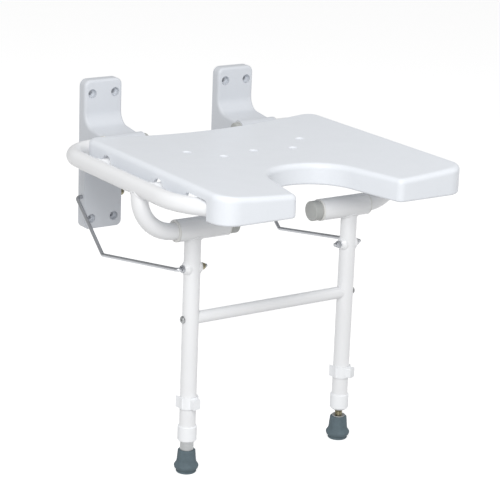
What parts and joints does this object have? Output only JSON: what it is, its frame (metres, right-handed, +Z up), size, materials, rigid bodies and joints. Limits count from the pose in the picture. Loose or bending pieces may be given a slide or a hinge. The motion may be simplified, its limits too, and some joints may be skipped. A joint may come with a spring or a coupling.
{
  "type": "wall-mounted folding shower seat",
  "caption": "Fold-up shower seat with a horseshoe seat on a white tube frame, hinged on wall brackets, with drop-down adjustable legs and link rods.",
  "frame": {"origin": "on the wall, at the centre of the wall screw holes", "axes": "+X to the right for somebody facing the seat, -Y out of the wall into the room, +Z up"},
  "size_m": [0.4974, 0.511, 0.55],
  "materials": {
    "bracket_plastic": "satin moulded plastic",
    "cap_plastic": "satin moulded plastic",
    "bush_nylon": "natural nylon",
    "seat_plastic": "fine-grained moulded plastic",
    "white_coat": "white powder coat",
    "bright_zinc": "bright zinc plate",
    "yellow_zinc": "yellow passivated zinc plate",
    "grey_rubber": "matt rubber"
  },
  "bodies": {
    "wall_brackets": {"left_wall_bracket": "bracket_plastic", "right_wall_bracket": "bracket_plastic", "left_hinge_bush": "bush_nylon", "right_hinge_bush": "bush_nylon"},
    "seat": {"seat_shell": "seat_plastic", "seat_saddles": "bush_nylon", "seat_screws": "bright_zinc", "left_side_tube": "white_coat", "right_side_tube": "white_coat", "left_hinge_cap": "cap_plastic", "right_hinge_cap": "cap_plastic", "left_tube_plug": "bush_nylon", "right_tube_plug": "bush_nylon", "rear_cross_tube": "white_coat", "front_cross_tube": "white_coat", "left_pivot_tube": "white_coat", "right_pivot_tube": "white_coat", "left_pivot_cap": "cap_plastic", "right_pivot_cap": "cap_plastic"},
    "leg_frame": {"left_pivot_sleeve": "white_coat", "right_pivot_sleeve": "white_coat", "left_sleeve_bushes": "bush_nylon", "right_sleeve_bushes": "bush_nylon", "left_leg_tube": "white_coat", "right_leg_tube": "white_coat", "left_link_boss": "white_coat", "right_link_boss": "white_coat", "left_link_pin": "bright_zinc", "right_link_pin": "bright_zinc", "left_link_washers": "bright_zinc", "right_link_washers": "bright_zinc", "left_link_nut": "yellow_zinc", "right_link_nut": "bright_zinc", "crossbar": "white_coat", "crossbar_plugs": "bush_nylon", "crossbar_screws": "bright_zinc", "left_leg_collar": "cap_plastic", "right_leg_collar": "cap_plastic"},
    "left_link": {"left_link_rod": "bright_zinc", "left_rod_nut": "yellow_zinc"},
    "right_link": {"right_link_rod": "bright_zinc", "right_rod_nut": "yellow_zinc"},
    "left_leg_extension": {"left_inner_tube": "bright_zinc", "left_ferrule": "grey_rubber", "left_ferrule_washer": "bright_zinc"},
    "right_leg_extension": {"right_inner_tube": "bright_zinc", "right_thread_insert": "yellow_zinc"},
    "right_foot": {"right_levelling_stud": "yellow_zinc", "right_foot_plug": "bush_nylon", "right_stud_washer": "bright_zinc", "right_ferrule": "grey_rubber", "right_ferrule_washer": "bright_zinc"},
    "left_clip": {"left_snap_clip": "cap_plastic"},
    "right_clip": {"right_snap_clip": "cap_plastic"}
  },
  "joints": [
    {"name": "seat_fold", "type": "hinge", "parent": "wall_brackets", "child": "seat", "pos_m": [0, -0.082, 0.033], "axis": [-1, 0, 0], "range_deg": [0, 90]},
    {"name": "leg_fold", "type": "hinge", "parent": "seat", "child": "leg_frame", "pos_m": [0, -0.322, -0.04], "axis": [1, 0, 0], "range_deg": [0, 90]},
    {"name": "left_link_swing", "type": "hinge", "parent": "wall_brackets", "child": "left_link", "pos_m": [-0.125, -0.012, -0.066], "axis": [-1, 0, 0], "range_deg": [0, 69.18]},
    {"name": "right_link_swing", "type": "hinge", "parent": "wall_brackets", "child": "right_link", "pos_m": [0.125, -0.012, -0.066], "axis": [-1, 0, 0], "range_deg": [0, 69.18]},
    {"name": "left_leg_height", "type": "slide", "parent": "leg_frame", "child": "left_leg_extension", "axis": [0, 0, -1], "range_m": [0, 0.075]},
    {"name": "right_leg_height", "type": "slide", "parent": "leg_frame", "child": "right_leg_extension", "axis": [0, 0, -1], "range_m": [0, 0.075]},
    {"name": "right_foot_level", "type": "slide", "parent": "right_leg_extension", "child": "right_foot", "axis": [0, 0, -1], "range_m": [0, 0.012]},
    {"name": "left_clip_pull", "type": "slide", "parent": "leg_frame", "child": "left_clip", "axis": [0, -1, 0], "range_m": [0, 0.02]},
    {"name": "right_clip_pull", "type": "slide", "parent": "leg_frame", "child": "right_clip", "axis": [0, -1, 0], "range_m": [0, 0.02]}
  ],
  "couplings": [
    {"joint": "leg_fold", "follows": "seat_fold", "ratio": 1},
    {"joint": "left_link_swing", "follows": "seat_fold", "ratio": 0.76856},
    {"joint": "right_link_swing", "follows": "seat_fold", "ratio": 0.76856}
  ]
}
